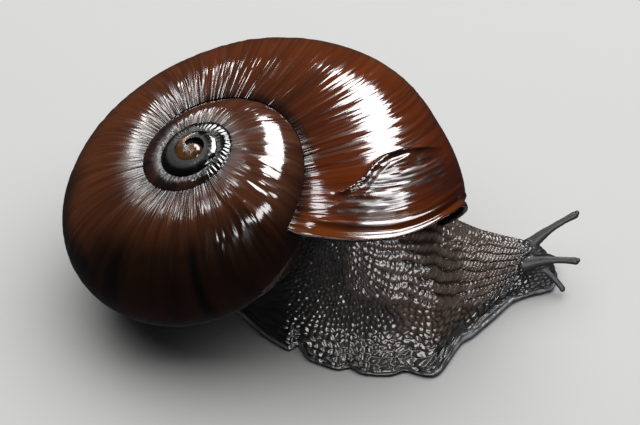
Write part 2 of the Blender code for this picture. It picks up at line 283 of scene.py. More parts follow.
def whorlRadius(turn):
    return np.maximum(np.exp(through(np.log(shell["whorlRadii"]), turn)), sutureRadius(turn) * 1.05)


def shoulderDrop(turn):
    share = shell["shoulder"][0] + shell["shoulder"][1] * np.minimum(turn, 1.5)
    return share * (whorlRadius(turn) - sutureRadius(turn))


# how far over the whorl inside it a suture lies
def reachUnder(turn):
    inner = sutureRadius(turn + 1)
    return np.clip((sutureRadius(turn) - inner) / (whorlRadius(turn + 1) - inner), 0.05, 0.985)


def sutureHeight(turn):
    turn = np.asarray(turn, float)
    height = -0.3 * sutureRadius(turn)
    low = turn <= shell["innerTurns"]
    if low.any():
        nearer = turn[low]
        fall = 1 - (1 - reachUnder(nearer) ** shell["power"]) ** (1 / shell["power"])
        height[low] = sutureHeight(nearer + 1) - shoulderDrop(nearer + 1) * fall
    return height


# radius and height across a whorl: u is 0 at the suture, 1 at the widest, 2 at the navel
def whorlSection(turn, u):
    turn, u = np.broadcast_arrays(np.asarray(turn, float), np.asarray(u, float))
    radius, inner = whorlRadius(turn), sutureRadius(turn)
    inner = inner * (1 - ease(shell["closedAt"], shell["closedAt"] + 0.12, turn))
    top = sutureHeight(turn.ravel()).reshape(turn.shape)
    widest = top - shoulderDrop(turn)
    power = 2 / shell["power"]
    w = np.clip(u, 0, 1) * math.pi / 2
    upper = inner + (radius - inner) * np.sin(w) ** power
    upperHeight = widest + (top - widest) * np.maximum(np.cos(w), 0) ** power
    w = (np.maximum(u, 1) - 1) * math.pi * 0.66
    flat = shell["flat"] * radius
    lower = np.maximum(flat + (radius - flat) * np.cos(w), shell["navel"] * radius)
    depth = shell["base"][0] + (shell["base"][1] - shell["base"][0]) * ease(0, 0.6, turn)
    lowerHeight = widest - depth * radius * np.sin(w)
    flare = shell["flare"] * (1 - ease(0, shell["flareBack"], turn - through(shell["sweep"], u)))
    flare = flare * ease(0.35, 0.9, u) * (1 - ease(1.25, 1.8, u))
    return np.stack([np.where(u <= 1, upper, lower) + flare, np.where(u <= 1, upperHeight, lowerHeight)], -1)


# from radius and height to the shell's place over the foot
def seated(section, turn):
    angle = 2 * math.pi * turn + math.radians(shell["bearing"])
    radius = section[..., 0]
    place = np.stack([radius * np.cos(angle), radius * np.sin(angle), section[..., 1]], -1)
    right = Euler((math.radians(shell["tiltRight"]), 0, 0)).to_matrix()
    back = Euler((0, math.radians(shell["tiltBack"]), 0)).to_matrix()
    return place @ np.array(right @ back).T + np.array(shell["apex"])


# growth lines sweep back toward the navel
def lagged(along, u):
    fade = np.clip((shell["fade"] - along) / shell["fade"], 0, 1)
    return along + fade * through(shell["sweep"], u)


# sections of the whorl's outside, and of the side that rests on the whorl within it
def shellRings(alongs, outerCount):
    half = outerCount * 6 // 11
    us = np.concatenate([np.linspace(0, 1, half) ** 0.9, np.linspace(1, 2, outerCount - half + 1)[1:]])
    along, u = np.meshgrid(alongs, us, indexing="ij")
    turn = lagged(along, u)
    outer = whorlSection(turn, u)
    meet = np.arcsin(reachUnder(turn[:, :1]) ** (shell["power"] / 2)) / (math.pi / 2)
    back = whorlSection(turn + 1, 2 - (2 - u) * (2 - meet) / 2)
    back[..., 0] += 0.12 * ease(0, 0.3, u)
    back[:, 0] = outer[:, 0]
    return SimpleNamespace(along=along, u=u, turn=turn, outer=outer, back=back)


# every so many of the outside's points, from the navel to the suture, for the side within
def backPick(outerCount, backCount):
    return np.round(np.linspace(outerCount - 1, 0, backCount + 2)[1:-1]).astype(int)


# triangles across a whorl's end, between its outside and the side within
def capFaces(ring, outerCount, flipped):
    first = list(ring[:outerCount])
    second = [ring[0]] + list(ring[outerCount:][::-1]) + [ring[outerCount - 1]]
    steps = [((i + 1) / (len(first) - 1), 0) for i in range(len(first) - 1)]
    steps += [((j + 1) / (len(second) - 1), 1) for j in range(len(second) - 1)]
    faces = []
    i = j = 0
    for _, onSecond in sorted(steps):
        corners = (first[i], second[j + 1], second[j]) if onSecond else (first[i], first[i + 1], second[j])
        i, j = i + 1 - onSecond, j + onSecond
        if len(set(corners)) == 3:
            faces.append(corners[::-1] if flipped else corners)
    return faces


# length in mm round the shell, at three quarters of the radius, for even growth lines
arcTurns = np.linspace(-0.3, 4.6, 1200)
arcLengths = np.cumsum(2 * math.pi * 0.75 * whorlRadius(arcTurns)) * (arcTurns[1] - arcTurns[0])


def arcAt(along):
    return np.interp(along, arcTurns, arcLengths)


# distance in mm from the scar's line, negative toward the lip, and the share of the way along it
def scarDistance(along, u, surface):
    scar = np.array(shell["scar"])
    us = np.linspace(scar[0, 1], scar[-1, 1], 160)
    turns = np.interp(us, scar[:, 1], scar[:, 0])
    turns = np.convolve(np.pad(turns, 6, mode="edge"), np.ones(13) / 13, "valid")
    line = seated(whorlSection(lagged(turns, us), us), lagged(turns, us))
    near = (along < 0.16) & (u < 1.1)
    distance = np.full(along.shape, 99.0)
    share = np.zeros(along.shape)
    gaps = np.linalg.norm(surface[near][:, None, :] - line[None, :, :], axis=-1)
    side = np.where(along[near] > np.interp(u[near], us, turns), 1, -1)
    distance[near] = gaps.min(1) * side
    share[near] = gaps.argmin(1) / (len(us) - 1)
    return distance, share


# raised growth lines, ribs on the young whorls, the rolled lip, the healed break and old chips, in mm
def growthRelief(along, u, surface, lipDistance):
    arc = arcAt(along)
    wander = 0.5 * noiseAt(3, arc * 0.25, u * 3) + 0.14 * noiseAt(4, arc * 0.8, u * 9)
    coarse = noiseAt(5, (arc + wander) * 1.05, u * 1.3)
    fine = noiseAt(6, (arc + wander) * 2.1, u * 2.6)
    strength = 0.35 + 0.85 * ease(-0.4, 0.6, noiseAt(7, arc * 0.14, u * 3.5))
    strength = strength * (1 - 0.8 * bump(along, 1.66, 0.2)) * (1 - ease(2.4, 2.6, along))
    relief = shell["lineHeight"] * (coarse + 0.7 * fine) * strength * (1 - 0.4 * ease(0.5, 1.0, u))
    ribs = np.sin(2 * math.pi * (arc / shell["ribStep"] + 0.35 * noiseAt(8, arc * 0.9, u * 2)))
    ribZone = ease(1.88, 2.0, along) * (1 - ease(2.35, 2.6, along))
    ribZone = ribZone * (0.75 + 0.25 * noiseAt(9, arc * 0.7, u))
    relief += shell["ribHeight"] * ribs * ribZone * ease(0, 0.12, u)
    # closer ribs beside the suture and over the turn before the last
    closeRibs = np.sin(2 * math.pi * (arc / shell["closeRibStep"] + 0.55 * noiseAt(16, arc * 0.55, u * 2.5)))
    closeRibs = closeRibs * (0.55 + 0.45 * noiseAt(17, arc * 0.8, u * 5))
    beside = bump(u, 0.1, 0.2) * ease(0.1, 0.25, along) * (along < 1.0001)
    beside += 0.75 * ease(1.0, 1.02, along) * ease(1.55, 1.4, along)
    relief += shell["closeRibHeight"] * closeRibs * beside
    # the shoulder beside the suture leans in a little behind the mouth
    relief -= 0.22 * bump(u, 0.0, 0.13) * ease(0.02, 0.12, along) * ease(0.5, 0.38, along)
    # slow dents, so that broad reflections waver
    dents = 0.07 * noiseAt(10, arc * 0.13, u * 2.6)
    relief += dents * ease(0.02, 0.15, u) * (1 - ease(1.0, 1.6, along))
    # a rounded fold behind the lip, a furrow behind that, and the edge rolled over
    onLip = ease(0.06, 0.2, u) * (1 - ease(1.1, 1.5, u))
    relief += shell["rollHeight"] * bump(lipDistance, 1.45, 0.55) * onLip
    relief -= 0.14 * bump(lipDistance, 2.5, 0.4) * onLip
    relief -= 0.3 * ease(1.4, 0.0, lipDistance) * onLip
    # cracked patch low on the right side
    crackle = ease(0.8, 0.88, along) * (1 - ease(0.985, 1.0, along)) * bump(u, 0.52, 0.2)
    relief -= 0.1 * crackle * ease(-0.2, 0.5, noiseAt(11, arc * 1.9 + u * 4, u * 5))
    # the healed break: a groove with a raised edge, then two lesser cracks and a torn patch toward the lip
    distance, share = scarDistance(along, u, surface)
    fades = ease(0, 0.12, share) * (1 - ease(0.72, 1.0, share))
    relief -= shell["scarDepth"] * bump(distance, 0.15, 0.3) * fades
    relief += 0.09 * bump(distance, -0.55, 0.4) * fades
    second = noiseAt(12, arc * 0.5, u * 7) * 0.45
    broken = fades * ease(-0.5, 0.3, noiseAt(14, arc * 0.5, u * 9))
    relief -= 0.15 * bump(distance + second, -1.35, 0.16) * broken
    relief -= 0.13 * bump(distance + 0.8 * second, -2.5, 0.16) * broken * ease(0.25, 0.5, share)
    patch = ease(-5.5, -4.0, distance) * (1 - ease(-0.2, 0.1, distance)) * fades
    relief += 0.11 * patch * noiseAt(13, arc * 1.3 + u * 7, u * 7)
    relief += 0.07 * patch * noiseAt(15, arc * 2.4 + u * 6, u * 13)
    return relief, (distance, share, crackle)


# colour and dullness of the surface
def shellTint(along, u, marks, lipDistance):
    tints = shell["tints"]
    distance, share, crackle = marks
    arc = arcAt(along)
    streak = noiseAt(21, arc * 0.75 + noiseAt(22, arc * 0.3, u * 3), u * 1.1)
    fineStreak = noiseAt(23, arc * 2.6, u * 1.6)
    cloud = noiseAt(24, arc * 0.16, u * 2.2)
    darkLow = ease(0.35, 0.75, u + 0.14 * cloud) * ease(0.42, 0.62, along)
    darkLow = np.maximum(darkLow, ease(0.66, 0.78, along) * ease(0.1, 0.5, u) * (along < 1.0001))
    olive = bump(u, 0.93, 0.2) * ease(0.1, 0.2, along) * (1 - ease(0.38, 0.5, along))
    bands = ease(0.2, 0.75, noiseAt(25, arc * 1.3, u * 0.5)) * ease(0.16, 0.0, along)
    inner = ease(1.0, 1.03, along)
    second = mixed(tints["secondPale"], tints["secondDeep"], np.clip(0.5 + 0.6 * streak, 0, 1))
    second = mixed(second, tints["secondLow"], ease(0.45, 0.85, u) * 0.85)
    speckle = ease(0.45, 0.8, noiseAt(26, arc * 3.2, u * 9)) * bump(along, 2.55, 0.2)
    apex = mixed(tints["apexDeep"], tints["apexPale"], ease(-0.1, 0.8, noiseAt(27, along * 9, u * 3)))
    tint = layered(
        tints["chestnut"],
        (tints["orange"], np.clip(ease(0.62, 0.12, along) * 0.75 + 0.25 * streak, 0, 1)),
        (tints["mahogany"], ease(0.12, 0.02, along) * 0.75 * ease(0.55, 0.8, u + 0.1 * streak)),
        (tints["chestnut"], ease(0.45, 0.85, along) * 0.9),
        (tints["nearBlack"], darkLow * (0.86 + 0.14 * streak)),
        (tints["shoulder"], bump(u, 0, 0.3) * 0.6 * ease(0.02, 0.2, along)),
        (tints["olive"], olive * 0.8),  # thin margin where light comes through the wall
        (tints["lipBand"], bands * 0.5),
        (second, inner),
        (tints["third"], ease(1.38, 1.5, along) * (1 - 0.25 * streak)),
        (tints["young"], ease(1.86, 2.02, along)),
        (tints["speckle"], speckle * 0.7),
        (tints["apexRing"], ease(2.6, 2.75, along)),
        (apex, ease(3.36, 3.46, along)))
    tint = tint * (1 + 0.28 * fineStreak + 0.22 * streak)[..., None]
    fades = ease(0, 0.15, share) * (1 - ease(0.75, 1.0, share))
    patch = ease(-8.0, -5.5, distance + streak) * (1 - ease(-0.3, 0.3, distance)) * fades
    grain = ease(-0.3, 0.3, noiseAt(28, arc * 3.2 + u * 6, u * 11))
    tint = layered(
        tint,
        (tints["suture"], bump(u, 0, 0.035) * ease(3.5, 3.47, along) * 0.9),
        (tints["sutureEdge"], bump(u, 0.052, 0.02) * bump(along, 0.62, 0.22) * 0.6),
        (tints["torn"], patch * (0.35 + 0.6 * grain)),
        (tints["scar"], bump(distance, 0.18, 0.3) * fades),
        (tints["lipEdge"], bump(lipDistance, 0.9, 0.8) * 0.7 * (1 - ease(1.0, 1.3, u))),
        (tints["underside"], ease(1.05, 1.5, u) * ease(1.02, 1.0, along) * 0.75))
    # dull: a stretch of the turn before the last, the torn and cracked patches, flecks, sutures and the apex
    dull = 0.15 * bump(along, 1.66, 0.17) * (1 - ease(1.9, 1.95, along))
    dull += patch * 0.28 * grain
    dull += 0.2 * crackle
    dull += 0.2 * ease(0.2, 0.7, noiseAt(29, arc * 2.4, u * 5))
    dull += 0.15 * bump(u, 0, 0.16) * inner
    dull += 0.8 * bump(along, 2.75, 0.3) * ease(0.5, 0.15, u)
    dull += 0.2 * bump(u, 0.06, 0.1) * ease(0.3, 0.45, along)
    worn = ease(-0.25, 0.15, noiseAt(30, arc * 2.9, u * 9)) * ease(0.13, 0.08, along) * ease(0.25, 0.4, u)
    worn = worn * ease(0.85, 0.7, u) * ease(-0.25, 0.2, noiseAt(18, arc * 0.4, u * 5))
    dull += 0.2 * worn * ease(1.8, 2.6, lipDistance)
    return np.maximum(tint, 0.0004), np.clip(dull, 0, 1)


# a stretch of whorl: rings of points, the outside's and then the side within's, and the outside's values
def makeStretch(alongs, outerCount, pick, facing):
    whorl = shellRings(alongs, outerCount)
    close = 1 - ease(3.9, 4.55, whorl.along)  # draws the first whorl shut at the apex
    whorl.outer[..., 0] *= close
    whorl.back[..., 0] *= close
    surface = seated(whorl.outer, whorl.turn)
    lipDistance = 2 * math.pi * whorl.outer[..., 0] * whorl.along
    lipDistance = np.where(whorl.along > 1, 99, lipDistance)  # the spire is nowhere near the lip
    relief, marks = growthRelief(whorl.along, whorl.u, surface, lipDistance)
    tint, dull = shellTint(whorl.along, whorl.u, marks, lipDistance)
    surface = surface + facing * surfaceNormals(surface) * relief[..., None]
    rings = np.concatenate([surface, seated(whorl.back[:, pick], whorl.turn[:, pick])], 1)
    return rings, {"tint": tint, "dull": dull, "growth": arcAt(whorl.along), "across": whorl.u}


def makeShellBody():
    alongCount, outerCount, backCount = shell["bodySteps"]
    pick = backPick(outerCount, backCount)
    alongs = np.linspace(1.0, 0.0, alongCount) ** shell["bodyCrowding"]
    rings, outside = makeStretch(alongs, outerCount, pick, 1)
    # the mouth: a rounded lip, then the inside of the wall
    lipTurns = np.linspace(0, shell["mouthDepth"], shell["mouthRings"])
    mouth = shellRings(lipTurns, outerCount)
    rung = mouth.back - mouth.outer
    length = lengthOf(rung) + 1e-6
    edge = np.gradient(mouth.outer, axis=1)
    away = np.stack([-edge[..., 1], edge[..., 0]], -1)
    away /= lengthOf(away) + 1e-9
    lean = np.clip(np.abs((away * rung).sum(-1, keepdims=True)) / length, 0.4, 1)
    wall = shell["lipWall"] + 0.3 * ease(0, 0.05, lipTurns)[:, None, None]
    insideOuter = mouth.outer + rung / length * np.minimum(wall / lean, 0.4 * length)
    insideBack = mouth.back - rung / length * np.minimum(0.3, 0.3 * length)
    inner = np.concatenate([seated(insideOuter, mouth.turn),
                            seated(insideBack[:, pick], mouth.turn[:, pick])], 1)
    forward = rings[-1] - rings[-4]
    forward /= lengthOf(forward) + 1e-9
    mid = (rings[-1] + inner[0]) / 2
    out = rings[-1] - mid
    ahead = forward * lengthOf(out)
    corners = np.linspace(0, math.pi, shell["lipPoints"] + 2)[1:-1]
    lip = [mid + out * math.cos(a) + ahead * math.sin(a) for a in corners]
    points = np.concatenate([rings, np.array(lip), inner], 0)
    width = points.shape[1]

    # an attribute of the outside, carried on over the side within, the lip and the inside
    def spread(values, within, onLip, inside):
        tail = values.shape[2:]
        values = np.concatenate([values, np.broadcast_to(within, (alongCount, backCount) + tail)], 1)
        onLip = np.broadcast_to(onLip, (len(lip), width) + tail)
        inside = np.broadcast_to(inside, (len(inner), width) + tail)
        return np.concatenate([values, onLip, inside], 0).reshape((-1,) + tail)

    index = numbered(points)
    ends = capFaces(index[0], outerCount, False) + capFaces(index[-1], outerCount, True)
    made = buildMesh("shellBodyWhorl", points, gridFaces(index) + ends)
    tints = shell["tints"]
    others = {"tint": (tints["within"], tints["lipCorner"], tints["inside"]), "dull": (0.5, 0.3, 0.7),
              "growth": (0, 0, 0), "across": (2.0, 1.0, 1.0)}
    addAttributes(made, {name: spread(outside[name], *others[name]) for name in others})
    return made


def makeSpire():
    alongCount, outerCount, backCount = shell["spireSteps"]
    pick = backPick(outerCount, backCount)
    alongs = 1.0 + shell["innerTurns"] * np.linspace(0, 1, alongCount) ** shell["spireCrowding"]
    rings, outside = makeStretch(alongs, outerCount, pick, -1)
    index = numbered(rings)
    ends = capFaces(index[0], outerCount, True) + capFaces(index[-1], outerCount, False)
    made = buildMesh("shellSpire", rings, gridFaces(index) + ends)
    for name, values in outside.items():
        values = np.concatenate([values, values[:, pick]], 1)
        addAttributes(made, {name: values.reshape((-1,) + values.shape[2:])})
    return made


def shellMaterial():
    made = newMaterial("wetShell", {"IOR": shell["ior"], "Coat Roughness": shell["coatRoughness"]})
    # finest growth lines: noise drawn out across the whorl
    drawn = addNode(made, "Math", {1: shell["fineLineStretch"]}, {0: attributeOutput(made, "across")})
    drawn.operation = "MULTIPLY"
    growth = attributeOutput(made, "growth")
    place = addNode(made, "CombineXYZ", {}, {"X": growth, "Y": drawn.outputs["Value"]})
    lines = addNode(made, "TexNoise", {"Scale": shell["fineLineScale"], "Detail": 1},
                    {"Vector": place.outputs["Vector"]})
    raised = addNode(made, "Bump", {"Strength": shell["fineLines"], "Distance": shell["fineLineDepth"] * mm},
                     {"Height": lines.outputs["Fac"]})
    feedShader(made, {
        "Base Color": attributeOutput(made, "tint", "Color"),
        "Roughness": byDullness(made, shell["roughness"], shell["dullRoughness"]),
        "Coat Weight": byDullness(made, shell["coat"], 0),  # worn places lose the clear outer layer
        "Normal": raised.outputs["Normal"],
        "Coat Normal": raised.outputs["Normal"]})
    return made


shellLook = shellMaterial()
shellBody = makeShellBody()
shellSpire = makeSpire()
for piece, replaced, slot in ((shellBody, ["shell_body_whorl"], "shell"),
                              (shellSpire, ["shell_penultimate_whorl", "shell_apex"], "shell_spire")):
    fixNormals(piece)
    selectOnly(piece)
    bpy.ops.object.shade_smooth_by_angle(angle=math.radians(55))
    clearSelection()
    piece.data.materials.append(shellLook)
    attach(piece, "root")
    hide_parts(*replaced)
    print("made", piece.name, len(piece.data.polygons), "faces")


# skin: the body, the mantle in the mouth and the feelers as one closed surface

body = {
    # x, ridge y, near half width, far half width, height, waist, from tail to head
    "stations": (
        (-25.2, 5.3, 0.6, 0.6, 1.25, 0), (-24.2, 5.2, 1.5, 1.5, 1.8, 0), (-21.5, 4.9, 2.6, 2.9, 2.6, 0),
        (-17, 4.4, 4.2, 5.2, 3.1, 0), (-12, 3.4, 6.4, 7.4, 3.5, 0), (-8, 2.2, 10.1, 9.2, 8.2, 0.3),
        (-3, 0.2, 12.2, 10.5, 20, 0.8), (2, -1.6, 13.2, 11.3, 27, 1), (8, -2.6, 13.5, 11.6, 28, 1),
        (13, -2.8, 13.1, 11.4, 22.5, 0.9), (17, -2.4, 13.2, 10.8, 16.2, 0.6),
        (19.5, -1.5, 9.6, 9.8, 13.8, 0.4), (22, -0.2, 7.9, 8.6, 12, 0.2),
        (25, 1.6, 6.1, 7, 9.9, 0.1), (28, 3.3, 4.1, 5.4, 8.1, 0),
        (31, 4.2, 3.3, 4.4, 6.9, 0), (33, 4.5, 2.9, 3.6, 4.9, 0), (34.1, 4.6, 2.2, 2.7, 2.8, 0),
        (34.6, 4.7, 1, 1.2, 1.5, 0)),
    "rim": 0.45,
    "lobes": ((-3.1, 1.9, 0.8), (4.2, 0.9, 1.1), (12.0, 0.7, 1.2), (20.5, 0.5, 1.0)),  # x, depth, half width
    "notchHeight": 5.0,  # how far up a notch between lobes reaches
    # how far inward and up a side has come, from the rim to the ridge, without and with a waist
    "neckSide": ((0, 0), (0.05, 0.06), (0.13, 0.2), (0.24, 0.44), (0.4, 0.72), (0.62, 0.92), (1, 1)),
    "trunkSide": ((0, 0), (0.1, 0.05), (0.2, 0.18), (0.24, 0.45), (0.22, 0.72), (0.34, 0.92), (1, 1)),
    "spans": (-25.2, -5, 24, 34.3, 34.6),  # x where tail, trunk, neck and snout start, and the end
    "steps": (26, 206, 90),  # slices along the tail, trunk and neck with head
    "nearSteps": 196,
    "farSteps": 66,
    "soleSteps": 5,
    "clearance": 0.14,  # between skin and shell
    "columnPivot": (5.4, 23.4),  # x and way up the side that the columns fan out from, under the lip
    "columnAngle": 2.3,  # degrees from one column to the next
    "foldPivot": (0.5, 26.0),
    "foldBend": 7.0,  # length over which a fold turns to run along the neck
    "foldStep": 0.094,  # fold spacing over the height of the side
    "beadLength": 0.66,  # of the beads that a fold is made of
    "knobSize": (0.95, 1.0),  # up the side and along it
    "grainSize": (0.66, 0.72),
    "rimWidth": 1.95,  # up from the sole's edge, round the rim
    "grooveDepth": 1.0,
    "roughness": 0.28,
    "dullRoughness": 0.62,
    "ior": 1.45,
    "coat": 0.6,
    "coatRoughness": 0.13,
    "pores": {"Strength": 0.35, "Distance": 0.08 * mm},
    "poreScale": 3800,
    "tints": {
        "slate": (0.011, 0.0102, 0.0102),
        "paleSlate": (0.019, 0.0165, 0.0152),
        "brown": (0.042, 0.029, 0.0225),
        "head": (0.007, 0.0062, 0.0062),
        "grooveShade": (0.0016, 0.0014, 0.0014),
        "rim": (0.024, 0.0255, 0.0275),
        "rimCrestHighlight": (0.088, 0.091, 0.095),
        "sole": (0.035, 0.036, 0.038),
    },
}

feelers = {
    # root, tip, root radius, waist radius, tip radius
    "shapes": {
        "upperLeft": ((29.9, 5.6, 5.0), (37.5, 8.4, 9.5), 1.15, 0.5, 0.56),
        "upperRight": ((29.8, 2.6, 4.8), (37.3, 1.1, 6.6), 1.1, 0.5, 0.56),
        "lowerLeft": ((32.1, 6.0, 3.45), (34.9, 7.6, 1.05), 0.62, 0.42, 0.46),
        "lowerRight": ((32.3, 3.35, 3.4), (35.5, 1.15, 0.8), 0.62, 0.42, 0.46),
    },
    "bow": 0.06,  # rise of the middle over the length
    "ringStep": 0.14,
    "around": 26,
    "wrinkle": 0.035,
    "dull": 0.9,
    "tints": {
        "root": (0.006, 0.0054, 0.0052),
        "middle": (0.009, 0.0074, 0.0066),
        "tip": (0.005, 0.0048, 0.0055),
        "lower": (0.007, 0.0085, 0.0125),
    },
}


# a column of the stations' table, smoothly from one station to the next
def stationValue(column, x):
    table = np.array(body["stations"])
    xs, ys = table[:, 0], table[:, column]
    slope = np.gradient(ys, xs)
    i = np.clip(np.searchsorted(xs, x) - 1, 0, len(xs) - 2)
    h = xs[i + 1] - xs[i]
    f = np.clip((x - xs[i]) / h, 0, 1)
    keep = ys[i] * (1 + 2 * f) * (1 - f) ** 2 + ys[i + 1] * f * f * (3 - 2 * f)
    return keep + h * f * (1 - f) * ((1 - f) * slope[i] - f * slope[i + 1])


# one side of a slice, from the foot's rim up to the ridge
def sideCurve(width, rim, height, waist, v):
    neck, trunk = np.array(body["neckSide"]), np.array(body["trunkSide"])
    at = v * (len(neck) - 1) * 0.5 - 0.5
    inward = through(neck[:, 0], at) * (1 - waist) + through(trunk[:, 0], at) * waist
    up = through(neck[:, 1], at) * (1 - waist) + through(trunk[:, 1], at) * waist
    return (width - rim) * (1 - inward), rim * 2 + (height - rim * 2) * up


# slices of the body: each point's place, its way up from the rim, the whole way up there, and its side
def bodySlices():
    tail, trunk, front = body["steps"]
    tailX, trunkX, neckX, snoutX, endX = body["spans"]
    xs = np.concatenate([np.linspace(tailX, trunkX, tail), np.linspace(trunkX, neckX, trunk)[1:],
                         np.linspace(neckX, snoutX, front)[1:], endX - 0.3 * np.linspace(0.85, 0, 5) ** 2])
    ridge, near, far, height, waist = (stationValue(c, xs)[:, None] for c in range(1, 6))
    cut = sum(d * np.exp(-(((xs[:, None] - at) / wide) ** 2)) for at, d, wide in body["lobes"])
    cut = cut * np.minimum(near / 6, 1)
    rim = np.minimum(np.minimum(body["rim"], height * 0.3), near * 0.6)
    rimAngles = np.linspace(-0.5, 0.5, 8)[:-1] * math.pi
    parts = []
    for width, count, sign in ((far, body["farSteps"], 1), (near, body["nearSteps"], -1)):
        v = np.linspace(0, 1, count)[None, :] ** (1 + 0.5 * waist)
        y, z = sideCurve(width, rim, height, waist, v)
        if sign < 0:
            y = y - cut * np.clip(1 - z / body["notchHeight"], 0, 1) ** 2
            width = width - cut
        y = np.concatenate([width - rim + rim * np.cos(rimAngles)[None, :], y], 1)
        z = np.concatenate([rim + rim * np.sin(rimAngles)[None, :], z], 1)
        step = np.hypot(np.diff(y, axis=1), np.diff(z, axis=1))
        arc = np.concatenate([0 * xs[:, None], np.cumsum(step, 1)], 1)
        top = arc[:, -1:] + 0 * arc
        part = np.stack([xs[:, None] + 0 * y, ridge + sign * y, z, arc, top, sign + 0 * arc], -1)
        parts.append(part if sign > 0 else part[:, -2::-1])
    ring = np.concatenate(parts, 1)
    f = np.linspace(0, 1, body["soleSteps"] + 2)[1:-1][None, :, None]
    sole = ring[:, -1:] * (1 - f) + ring[:, :1] * f
    sole[..., 3:] = 0
    ring = np.concatenate([ring, sole], 1)
    # rounded ends
    for end, outward in ((0, -1), (-1, 1)):
        edge = ring[end]
        centre = edge.mean(0)
        extra = []
        for k in (0.8, 0.55, 0.25):
            made = centre + (edge - centre) * k
            made[:, 3:] = edge[:, 3:]
            made[:, 0] += outward * 0.12 * (1 - k)
            extra.append(made)
        extra = np.array(extra)
        ring = np.concatenate([extra[::-1], ring] if end == 0 else [ring, extra], 0)
    ring[..., 0] += middle[0]
    ring[..., 1] += middle[1]
    return ring


# the shell as two coarse surfaces to test against: the last whorl with closed ends, and the turn before it
def shellTrees():
    across = 60
    pick = slice(across - 2, 0, -4)
    whorl = shellRings(np.linspace(1.0, 0.0, 120), across)
    mouth = shellRings(np.array([0.0, 0.004, 0.01, 0.016]), across)
    rung = mouth.back - mouth.outer
    inside = mouth.outer + rung * np.clip(0.9 / (lengthOf(rung) + 0.01), 0, 0.4)
    rings = [np.concatenate([seated(outer, part.turn), seated(part.back[:, pick], part.turn[:, pick])], 1)
             for part, outer in ((whorl, whorl.outer), (mouth, inside))]
    rings = np.concatenate(rings, 0)
    index = numbered(rings)
    faces = gridFaces(index) + capFaces(index[-1], across, True) + capFaces(index[0], across, False)
    second = shellRings(np.linspace(1.0, 2.0, 90), 50)
    secondRings = seated(second.outer, second.turn)
    secondFaces = gridFaces(numbered(secondRings), closed=False)
    return [bvhtree.BVHTree.FromPolygons(points.reshape(-1, 3).tolist(), polygons)
            for points, polygons in ((rings, faces), (secondRings, secondFaces))]


# keeps the body under the shell: a point inside it moves back toward the middle of the foot
def tuckUnderShell(points):
    trees = shellTrees()
    gap = body["clearance"]
    held = np.zeros(points.shape[:2])
    moved = points.copy()
    for i, row in enumerate(points):
        x = row[0, 0]
        ridge = float(stationValue(1, x - middle[0])) + middle[1]
        core = Vector((x, ridge, min(1.2, row[:, 2].max() * 0.4)))
        for j, place in enumerate(row):
            way = Vector(place) - core
            if way.length < 1e-4:
                continue
            for tree in trees:
                reach = tree.ray_cast(core, way / way.length, way.length + gap)[3]
                if reach is not None and reach - gap < way.length:
                    moved[i, j] = core + way / way.length * max(reach - gap, 0.1)
                    way = Vector(moved[i, j]) - core
                    held[i, j] = 1
    return moved, held


# cells on a jittered lattice: distance to the nearest edge, how far it runs across b, each cell's number
def cellPattern(a, b, sizeA, sizeB, jitter, seed):
    found = []
    for stepA in (-1, 0, 1):
        row = np.floor(a) + stepA
        slide = hashed(seed + 3, row)
        for stepB in (-1, 0, 1):
            column = np.floor(b + slide) + stepB
            cellA = row + 0.5 + (hashed(seed, row, column) - 0.5) * jitter
            cellB = column + 0.5 + (hashed(seed + 1, row, column) - 0.5) * jitter - slide
            distance = ((a - cellA) * sizeA) ** 2 + ((b - cellB) * sizeB) ** 2
            found.append((distance, cellA, cellB, hashed(seed + 2, row, column)))
    found = np.array(found)
    order = np.argsort(found[:, 0], axis=0, kind="stable")[:2, None]
    (best, bestA, bestB, number), (second, secondA, secondB, _) = np.take_along_axis(found, order, 0)
    gapA, gapB = (secondA - bestA) * sizeA, (secondB - bestB) * sizeB
    apart = np.hypot(gapA, gapB) + 1e-6
    return (second - best) / (2 * apart), np.abs(gapB) / apart, number


